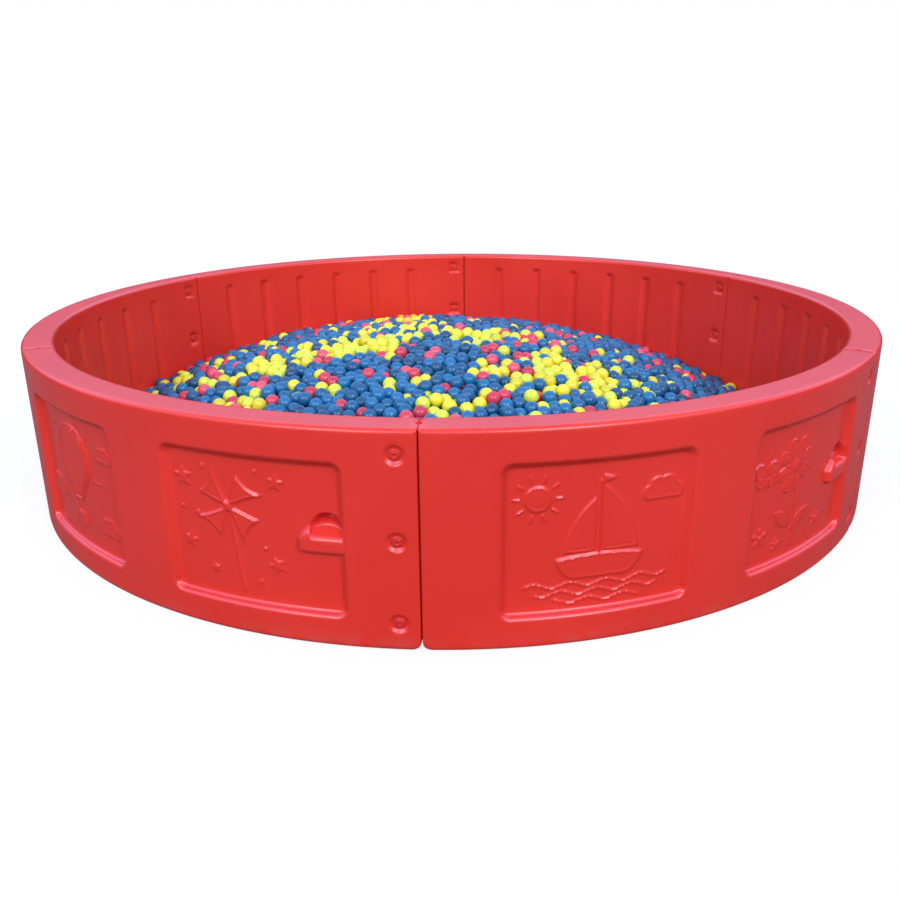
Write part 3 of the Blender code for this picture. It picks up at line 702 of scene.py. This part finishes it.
class Finish(Nodes):
    """A material made of nodes, which feed one Principled shader."""

    def __init__(self, name):
        self.material = bpy.data.materials.new(name)
        self.material.use_nodes = True
        super().__init__(self.material.node_tree)
        self.shader = self.tree.nodes["Principled BSDF"]
        self.place = self.node("ShaderNodeTexCoord", output="Object")

    def noise(self, scale, detail=3.0, place=None):
        sockets = {"Vector": place or self.place, "Scale": scale, "Detail": detail}
        return self.node("ShaderNodeTexNoise", {}, sockets)

    def bump(self, height, distance, strength=1.0, normal=None):
        sockets = {"Height": height, "Distance": distance, "Strength": strength}
        if normal:
            sockets["Normal"] = normal
        return self.node("ShaderNodeBump", {}, sockets)

    def set(self, **values):
        for name, value in values.items():
            self.feed(self.shader.inputs[name.replace("_", " ")], value)


def moulded_red(name, base, deep):
    """Satin polyethylene: orange-peel skin, light scuffs, a dusty foot, dust and painted shade on the sills,
    painted pink highlights.
    """
    finish = Finish(name)
    height = finish.part(finish.place, "Z")
    patches = finish.step(finish.noise(2.2, 4.0), 0.35, 0.68)
    colour = finish.mixed(patches, base, deep)
    stretched = finish.node("ShaderNodeMapping", {}, {"Vector": finish.place, "Scale": (26, 26, 210)})
    scuffs = finish.step(finish.noise(1.0, 6.0, stretched), 0.66, 0.80)
    scuffs = scuffs * finish.step(finish.noise(3.5), 0.50, 0.66)
    colour = finish.mixed(scuffs * 0.22, colour, (0.80, 0.20, 0.17))
    dust = (1 - finish.step(height, 0.004, 0.060)) * finish.step(finish.noise(16, 5.0), 0.36, 0.70)
    colour = finish.mixed(dust * 0.16, colour, (0.42, 0.17, 0.13))
    upwards = finish.part(finish.node("ShaderNodeNewGeometry", output="Normal"), "Z")
    # Painted shade, partly dust: near-flat upward faces low on the panel, the middles of the recess sills, turn
    # dull purple-red.
    sill_dust_and_shade = finish.step(upwards, 0.90, 0.97) * (1 - finish.step(height, 0.10, 0.14))
    sill_dust_and_shade = sill_dust_and_shade * finish.step(height, 0.03, 0.06)
    colour = finish.mixed(sill_dust_and_shade * 0.7, colour, (0.36, 0.035, 0.050))
    flat = finish.joined(X=finish.part(finish.place, "X"), Y=finish.part(finish.place, "Y"))
    from_axis = finish.node("ShaderNodeVectorMath", {"operation": "LENGTH"}, {0: flat}, "Value")
    # Painted highlight: outer faces below the rim that turn partly upwards are tinted pale pink, as a
    # reflection of the sky.
    painted_sky_highlight = finish.step(upwards, 0.22, 0.55) * (1 - finish.step(upwards, 0.86, 0.95))
    painted_sky_highlight = painted_sky_highlight * finish.step(from_axis, 1.44, 1.46) * (1 - finish.step(height, 0.50, 0.54))
    colour = finish.mixed(painted_sky_highlight * 0.21, colour, (0.95, 0.14, 0.20))
    finish.set(Base_Color=colour, IOR=1.54)
    finish.set(Roughness=0.27 + 0.08 * finish.noise(38, 4.0) + 0.10 * scuffs + 0.16 * dust)
    skin = finish.bump(finish.noise(420, 2.0), 0.00022, 0.8)
    waves = finish.bump(finish.noise(11, 2.0), 0.0016, 0.5, skin)
    finish.set(Normal=waves)
    return finish.material


panel_plastic = moulded_red("red_panel_plastic", (0.800, 0.034, 0.020), (0.750, 0.028, 0.015))

bend = Shaper("bend_round_the_ring", ("Ring radius", "Wall thickness", "Turn"))
flat_place = bend.node("GeometryNodeInputPosition")
along, through, up = (bend.part(flat_place, axis) for axis in "XYZ")
angle = along / bend.size("Ring radius") + bend.size("Turn")
radius = bend.size("Ring radius") - bend.size("Wall thickness") + through
bent_place = bend.joined(X=radius * bend.math("COSINE", angle), Y=radius * bend.math("SINE", angle), Z=up)
bent = bend.node("GeometryNodeSetPosition", {}, {"Geometry": bend.blank, "Position": bent_place})
bend.finish(bent)

rim_holes = bmesh.new()
hole = {"cap_ends": True, "segments": 24, "radius1": 0.0080, "radius2": 0.0092, "depth": 0.030}
for x in (0, PANEL_LENGTH):
    on_rim = Matrix.Translation((x, WALL_THICKNESS / 2, WALL_HEIGHT))
    bmesh.ops.create_cone(rim_holes, matrix=on_rim, **hole)
hole_mesh = bpy.data.meshes.new("rim_holes")
rim_holes.to_mesh(hole_mesh)
rim_holes.free()
hole_cutter = new_piece("rim_holes", hole_mesh)

flat_panels = []
for name, pictures in (("boat_and_flowers", (boat, flowers)), ("balloon_and_pinwheel", (balloon, pinwheel))):
    blank = new_piece(name, flat_panel(name, pictures))
    drilled = blank.modifiers.new("rim holes", "BOOLEAN")
    drilled.operation = "DIFFERENCE"
    drilled.solver = "EXACT"
    drilled.object = hole_cutter
    graph = bpy.context.evaluated_depsgraph_get()
    flat_panels.append(bpy.data.meshes.new_from_object(blank.evaluated_get(graph)))
    bpy.data.objects.remove(blank)
bpy.data.objects.remove(hole_cutter)

for number in range(6):
    turn = math.radians(-90 + 60 * number)
    sizes = {"Ring radius": RING_RADIUS, "Wall thickness": WALL_THICKNESS, "Turn": turn}
    panel = bend.shape(f"panel_{number + 1}", flat_panels[number % 2], panel_plastic, sizes)
    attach(panel, "ring_and_heap")
    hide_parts(f"wall_panel_{number + 1}")

# Bolts
# Three bolts from outside and three from inside at each seam, turned from red plastic with a raised ring and a
# six-sided socket. Each sits in its dish or square pocket and screws into the tongue of the next panel.

bolt_plastic = moulded_red("red_bolt_plastic", (0.700, 0.028, 0.016), (0.640, 0.020, 0.011))


def closed_faces(last, sides):
    """Faces over a pole at index 0, rings of so many sides, and a pole at the last index."""
    faces = []
    for side in range(sides):
        after = (side + 1) % sides
        faces.append([0, 1 + side, 1 + after])
        for low in range(1, last - sides, sides):
            faces.append([low + side, low + sides + side, low + sides + after, low + after])
        faces.append([last, last - sides + after, last - sides + side])
    return faces


def turned(profile, sides, six_sided=()):
    """A closed shape turned round Z from (radius, height) points. Some rings may be six-sided."""
    points = [(0, 0, profile[0][1])]
    turns = turns_round(sides)
    for number, (radius, height) in enumerate(profile[1:-1], 1):
        reach = np.full(sides, radius)
        if number in six_sided:
            reach = radius * math.cos(math.pi / 6) / np.cos((turns + math.pi / 6) % (math.pi / 3) - math.pi / 6)
        points += list(zip(reach * np.cos(turns), reach * np.sin(turns), np.full(sides, height)))
    points.append((0, 0, profile[-1][1]))
    return points, closed_faces(len(points) - 1, sides)


bolt_profile = [
    (0, 0.0019), (0.0030, 0.0019), (0.0046, 0.0020), (0.0049, 0.0048), (0.0054, 0.0053), (0.0062, 0.0055),
    (0.0070, 0.0054), (0.0076, 0.0046), (0.0084, 0.0043), (0.0100, 0.0043), (0.0118, 0.0045), (0.0130, 0.0041),
    (0.0137, 0.0033), (0.0140, 0.0022), (0.0140, 0.0003), (0.0060, 0.0003), (0.0050, 0.0003), (0.0050, -0.034),
    (0.0040, -0.036), (0, -0.036),
]
bolt_blank = plain_mesh("bolt", *turned(bolt_profile, 36, (1, 2, 3)))

drive = Shaper("bolts_round_the_ring", ("Seat radius", "First angle", "Lowest", "Spacing", "Lean"))
number = drive.node("GeometryNodeInputIndex")
level = number % 3
seam = drive.math("FLOOR", (number + 0.5) / 3)
seam_angle = drive.size("First angle") + seam * (math.pi / 3)
spots = drive.node("GeometryNodePoints", {}, {"Count": 18})
spot_place = drive.joined(
    X=drive.size("Seat radius") * drive.math("COSINE", seam_angle),
    Y=drive.size("Seat radius") * drive.math("SINE", seam_angle),
    Z=drive.size("Lowest") + level * drive.size("Spacing"),
)
spots = drive.node("GeometryNodeSetPosition", {}, {"Geometry": spots, "Position": spot_place})
spin = drive.node("FunctionNodeEulerToRotation", {}, {0: drive.joined(Z=number * 1.7)})
stand = drive.node("FunctionNodeEulerToRotation", {}, {0: drive.joined(Y=drive.size("Lean"), Z=seam_angle)})
facing = drive.node("FunctionNodeRotateRotation", {"rotation_space": "LOCAL"}, {0: stand, 1: spin})
set_bolts = {"Points": spots, "Instance": drive.blank, "Rotation": facing}
drive.finish(drive.node("GeometryNodeInstanceOnPoints", {}, set_bolts))

inner_radius = RING_RADIUS - WALL_THICKNESS
for side, seat, first, lean in (
    ("outer", RING_RADIUS - SEAT_DEPTH, -BOLT_OFFSET / RING_RADIUS, math.pi / 2),
    ("inner", inner_radius + SEAT_DEPTH, BOLT_OFFSET / inner_radius, -math.pi / 2),
):
    sizes = {
        "Seat radius": seat,
        "First angle": math.radians(-90) + first,
        "Lowest": BOLT_LEVELS[0],
        "Spacing": BOLT_LEVELS[1] - BOLT_LEVELS[0],
        "Lean": lean,
    }
    bolts = drive.shape(f"{side}_bolts", bolt_blank, bolt_plastic, sizes, 40)
    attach(bolts, "ring_and_heap")
    for seam_number in range(1, 7):
        for height_name in ("lower", "middle", "upper"):
            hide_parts(f"{side}_bolt_{seam_number}_{height_name}")

# Loose play balls
# Eight hollow blow-moulded balls that lie on the heap and lift out of it, each with the fine ridge of its mould
# round the middle and a small plug where it was filled with air.

BALL = 0.055
RADIUS = BALL / 2
RIDGE = 0.00025
ball_colours = {
    "blue": ((0.004, 0.104, 0.245), (0.006, 0.142, 0.320)),
    "yellow": ((0.880, 0.730, 0.028), (0.680, 0.740, 0.050)),
    "red": ((0.680, 0.040, 0.080), (0.760, 0.085, 0.130)),
}


def ball_plastic(colour):
    """Thin soft polyethylene, with a mould ridge, faint cloudiness and its own tint on each ball."""
    finish = Finish(f"{colour}_ball_plastic")
    tint = finish.node("ShaderNodeAttribute", {"attribute_name": "tint"}, output="Fac")
    on_ball = finish.node("ShaderNodeAttribute", {"attribute_name": "on_ball"}, output="Vector")
    from_ridge = finish.math("ABSOLUTE", finish.part(on_ball, "Z"))
    cloudy = finish.step(finish.noise(30, 3.0), 0.3, 0.7)
    first, second = ball_colours[colour]
    base = finish.mixed(finish.step(tint, 0.55, 0.75), first, second)
    darker = tuple((0.55 if colour == "blue" else 0.74) * share for share in first)
    base = finish.mixed(finish.step(tint, 0.42, 0.0) * 0.85, base, darker)
    base = finish.mixed(cloudy * 0.012, base, (0.75, 0.75, 0.75))
    finish.set(Base_Color=base, Roughness=0.24 + 0.12 * finish.noise(90, 3.0))
    finish.set(Normal=finish.bump(1 - finish.step(from_ridge, 0.0002, 0.0011), 0.0003, 0.7))
    return finish.material


ball_plastics = {colour: ball_plastic(colour) for colour in ball_colours}

ball_profile = [(0, RADIUS - 0.0006), (0.0016, RADIUS - 0.0006), (0.0021, RADIUS - 0.0002)]
for turn in (*np.linspace(7, 84, 14), 88.2, 89.2, 90, 90.8, 91.8, *np.linspace(96, 173, 14)):
    reach = RADIUS - (0 if abs(turn - 90) < 1 else RIDGE)
    ball_profile.append((reach * math.sin(math.radians(turn)), reach * math.cos(math.radians(turn))))
ball_profile.append((0, RIDGE - RADIUS))

chance = np.random.default_rng(31)


def ball_piece(name, place, colour):
    """One fine ball, turned at random, with the place on its mould kept for its plastic."""
    points, faces = turned(ball_profile, 40)
    mesh = plain_mesh(name, points, faces)
    on_ball = np.array(points)
    mesh.attributes.new("on_ball", "FLOAT_VECTOR", "POINT").data.foreach_set("vector", on_ball.ravel())
    tints = np.full(len(points), chance.random())
    mesh.attributes.new("tint", "FLOAT", "POINT").data.foreach_set("value", tints)
    turn = Matrix.Rotation(chance.uniform(0, 6.28), 4, Vector(chance.normal(size=3)))
    mesh.transform(Matrix.Translation(place) @ turn)
    mesh.shade_smooth()
    mesh.materials.append(ball_plastics[colour])
    return new_piece(name, mesh)


loose_places = []
for number, colour in enumerate(("blue", "yellow", "red", "blue", "yellow", "red", "blue", "yellow"), 1):
    low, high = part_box(f"loose_ball_{number}_{colour}")
    place = (low + high) / 2
    loose_places.append(place)
    ball = ball_piece(f"loose_{colour}_ball_{number}", place, colour)
    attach(ball, f"ball_{number}")
    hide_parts(f"loose_ball_{number}_{colour}")

# Heap of play balls
# Thousands of the same balls, poured in and settled: a low heap, highest behind the middle and to the left. The
# topmost balls and those just beneath are laid ball by ball, over a bed that stands for all the rest, painted
# as balls in shade.

BED_FOOT = 0.004
BED_BELOW = 1.55 * BALL
UNDER_WALL_FOOT = 0.0050
HEAP_RISE = 0.346
HEAP_MIDDLE = (-0.120, 0.280)
HEAP_SPREAD = (1.560, 1.940)
BALL_TO_WALL = 0.003


def heap_top(x, y):
    """The height of the middles of the topmost balls."""
    across = (x - HEAP_MIDDLE[0]) / HEAP_SPREAD[0]
    along = (y - HEAP_MIDDLE[1]) / HEAP_SPREAD[1]
    return np.maximum(RADIUS + BED_FOOT, HEAP_RISE * (1 - across**2 - along**2))


def bed_top(x, y):
    return np.maximum(BED_FOOT, heap_top(x, y) - BED_BELOW)


def close_pairs(places):
    """The pairs of balls that are near enough to touch soon."""
    tree = kdtree.KDTree(len(places))
    for index, place in enumerate(places):
        tree.insert(place, index)
    tree.balance()
    pairs = []
    for index, place in enumerate(places):
        pairs += [(index, other) for _, other, _ in tree.find_range(place, 1.25 * BALL) if other > index]
    return np.array(pairs)


ROW_STEP = (BALL + 0.005) / math.sqrt(2)
MOST_ROWS = math.ceil(inner_radius / ROW_STEP) + 1
REACH = inner_radius - RADIUS - BALL_TO_WALL
LOOSE_SPOTS = ((-16, -6), (-9, 9), (-3, -13), (1, 5), (7, -7), (10, 10), (16, 0), (19, -11))


def top_layer():
    """The topmost balls: on a chessboard's squares of one colour, scattered, and pushed apart sideways."""
    scatter = random.Random(31)
    places, rises = {}, {}
    for column in range(-MOST_ROWS, MOST_ROWS + 1):
        for row in range(-MOST_ROWS + (column + MOST_ROWS) % 2, MOST_ROWS + 1, 2):
            x = ROW_STEP * (column + scatter.uniform(-0.42, 0.42))
            y = ROW_STEP * (row + scatter.uniform(-0.42, 0.42))
            rise = scatter.uniform(-0.011, 0.011)
            rises[column, row] = 0.014 if (column, row) in LOOSE_SPOTS else rise
            places[column, row] = Vector((x, y, heap_top(x, y) + rises[column, row]))
    for _ in range(24):
        for (column, row), place in places.items():
            for spot in ((column + 1, row + 1), (column + 1, row - 1), (column + 2, row), (column, row + 2)):
                if spot not in places:
                    continue
                apart = places[spot] - place
                if spot in LOOSE_SPOTS or (column, row) in LOOSE_SPOTS:
                    apart.z = 0
                short = BALL - apart.length
                if short > 0:
                    push = apart.xy.normalized() * short / 2
                    place.xy -= push
                    places[spot].xy += push
            if REACH < place.xy.length < REACH + RADIUS:
                place.xy *= REACH / place.xy.length
            place.z = heap_top(place.x, place.y) + rises[column, row]
    filled = [place for spot, place in places.items() if spot not in LOOSE_SPOTS]
    kept = np.array([place for place in filled if place.xy.length < REACH + 0.001])
    kept[:, 2] = np.maximum(kept[:, 2], RADIUS + 0.001)
    return kept


def balls_beneath(above):
    """Balls at random under the topmost ones, pushed apart step by step and kept below the heap's top."""
    sample = chance.uniform(-REACH, REACH, (int(2.6 * len(above)), 2))
    sample = sample[np.hypot(*sample.T) < REACH]
    lowest = bed_top(*sample.T) + RADIUS
    highest = np.maximum(lowest, heap_top(*sample.T) - 0.55 * BALL)
    below = np.column_stack([sample, lowest + (highest - lowest) * chance.random(len(sample))])
    places = np.concatenate([above, loose_places, below])
    fixed = len(above) + len(loose_places)
    for turn in range(120):
        if turn % 8 == 0:
            pairs = close_pairs(places)
            pairs = pairs[pairs[:, 1] >= fixed]
        first, second = pairs.T
        apart = places[first] - places[second]
        length = np.maximum(np.linalg.norm(apart, axis=1), 1e-6)
        share = np.where(first < fixed, 0.84, 0.42)
        push = apart * (share * np.clip(BALL * 1.002 - length, 0, None) / length)[:, None]
        for axis in range(3):
            places[:, axis] += np.bincount(first, push[:, axis] * (first >= fixed), len(places))
            places[:, axis] -= np.bincount(second, push[:, axis], len(places))
        out = np.hypot(places[:, 0], places[:, 1])
        over = out > REACH
        over[:fixed] = False
        places[over, :2] *= (REACH / out[over])[:, None]
        low = bed_top(*places[fixed:, :2].T) + RADIUS
        high = np.maximum(low, heap_top(*places[fixed:, :2].T) - 0.2 * BALL)
        places[fixed:, 2] = np.clip(places[fixed:, 2], low, high)
    return places[fixed:]


balls = top_layer()
balls = np.concatenate([balls, balls_beneath(balls)])
waves = chance.normal(0, 3.2, (12, 2))
starts = chance.uniform(0, 6.28, 12)
poured = np.cos(balls[:, :2] @ waves.T + starts).sum(1) / math.sqrt(6)
far_out = 1 - np.exp(-((np.hypot(*balls[:, :2].T) / 1.05) ** 8))
share_yellow = 0.08 + 0.04 * poured + 0.12 * far_out * (poured > 0.5)
for x, y, reach in (
    (-0.62, 0.28, 0.20), (-0.33, 0.30, 0.19), (-0.34, 0.72, 0.16), (0.16, 0.48, 0.17), (0.52, -0.02, 0.24),
    (0.02, 0.58, 0.13), (-0.85, 0.10, 0.12), (0.44, 0.50, 0.12), (0.02, -0.44, 0.12), (-0.72, -0.28, 0.13),
    (-0.10, -1.05, 0.18), (0.62, -0.82, 0.16), (-0.66, -0.86, 0.18), (-0.30, 1.08, 0.16),
):
    share_yellow = share_yellow + 0.66 * np.exp(-((balls[:, 0] - x) ** 2 + (balls[:, 1] - y) ** 2) / reach**2)
luck = chance.random(len(balls))
colours = np.where(luck < np.clip(share_yellow, 0.04, 0.86), "yellow", np.where(luck > 0.89, "red", "blue"))

lay = Shaper("balls_in_place", ("Radius", "Seed"))
ball = lay.node("GeometryNodeMeshIcoSphere", {}, {"Radius": lay.size("Radius"), "Subdivisions": 2})
mould_place = lay.node("GeometryNodeInputPosition")
on_mould = {"data_type": "FLOAT_VECTOR", "domain": "POINT"}
named = {"Geometry": ball, "Name": "on_ball", "Value": mould_place}
ball = lay.node("GeometryNodeStoreNamedAttribute", on_mould, named)
turns = {0: (0, 0, 0), 1: (6.283, 6.283, 6.283), "Seed": lay.size("Seed")}
turn = lay.node("FunctionNodeRandomValue", {"data_type": "FLOAT_VECTOR"}, turns)
turn = lay.node("FunctionNodeEulerToRotation", {}, {0: turn})
laid = lay.node("GeometryNodeInstanceOnPoints", {}, {"Points": lay.blank, "Instance": ball, "Rotation": turn})
tints = {2: 0.0, 3: 1.0, "Seed": lay.size("Seed") + 1}
tint = lay.node("FunctionNodeRandomValue", {"data_type": "FLOAT"}, tints, 1)
by_ball = {"data_type": "FLOAT", "domain": "INSTANCE"}
laid = lay.node("GeometryNodeStoreNamedAttribute", by_ball, {"Geometry": laid, "Name": "tint", "Value": tint})
lay.finish(laid)

left = balls[:, 0] < np.median(balls[colours == "blue"][:, 0])
heap_parts = (
    ("blue_balls_left", "blue", (colours == "blue") & left),
    ("blue_balls_right", "blue", (colours == "blue") & ~left),
    ("yellow_balls", "yellow", colours == "yellow"),
    ("red_balls", "red", colours == "red"),
)
for seed, (name, colour, mine) in enumerate(heap_parts):
    spots = bpy.data.meshes.new(name)
    spots.from_pydata(balls[mine].tolist(), [], [])
    heap_part = lay.shape(name, spots, ball_plastics[colour], {"Radius": RADIUS, "Seed": 10.0 * seed})
    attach(heap_part, "ring_and_heap")
    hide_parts("ball_heap")

# Painted shade: the bed shows the buried balls in darker, shaded copies of their colours.
bed_finish = Finish("balls_below")
cell_size = {"Vector": bed_finish.place, "Scale": 18.0}
cells = bed_finish.node("ShaderNodeTexVoronoi", {}, cell_size, "Color")
kind = bed_finish.node("ShaderNodeSeparateColor", {}, {0: cells})
crown = bed_finish.node("ShaderNodeTexVoronoi", {}, cell_size)
shaded_ball_colours = [(0.0, (0.012, 0.070, 0.280)), (0.62, (0.420, 0.400, 0.040)), (0.88, (0.350, 0.030, 0.050))]
deep = bed_finish.node("ShaderNodeValToRGB", {"stops": shaded_ball_colours}, {0: kind})
deep.nodes.tree.nodes[-1].color_ramp.interpolation = "CONSTANT"
# Painted shade in the gaps between the balls that the bed draws.
deep = bed_finish.mixed(bed_finish.step(crown, 0.3, 0.6), deep, (0.006, 0.016, 0.040))
bed_finish.set(Base_Color=deep, Roughness=0.5, Normal=bed_finish.bump(1 - crown, 0.02))

bed_steps = 96
bed_points = [(0, 0, float(bed_top(0.0, 0.0)))]
for reach in np.linspace(0, inner_radius + UNDER_WALL_FOOT, 41)[1:]:
    x, y = reach * np.cos(turns_round(bed_steps)), reach * np.sin(turns_round(bed_steps))
    bed_points += list(zip(x, y, bed_top(x, y)))
bed_points += [(x, y, 0.001) for x, y, _ in bed_points[-bed_steps:]]
bed_points.append((0, 0, 0.001))
bed_mesh = plain_mesh("bed_of_balls", bed_points, closed_faces(len(bed_points) - 1, bed_steps))
bed_mesh.shade_smooth()
bed_mesh.set_sharp_from_angle(angle=math.radians(40))
bed_mesh.materials.append(bed_finish.material)
bed = new_piece("bed_of_balls", bed_mesh)
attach(bed, "ring_and_heap")
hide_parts("ball_heap")
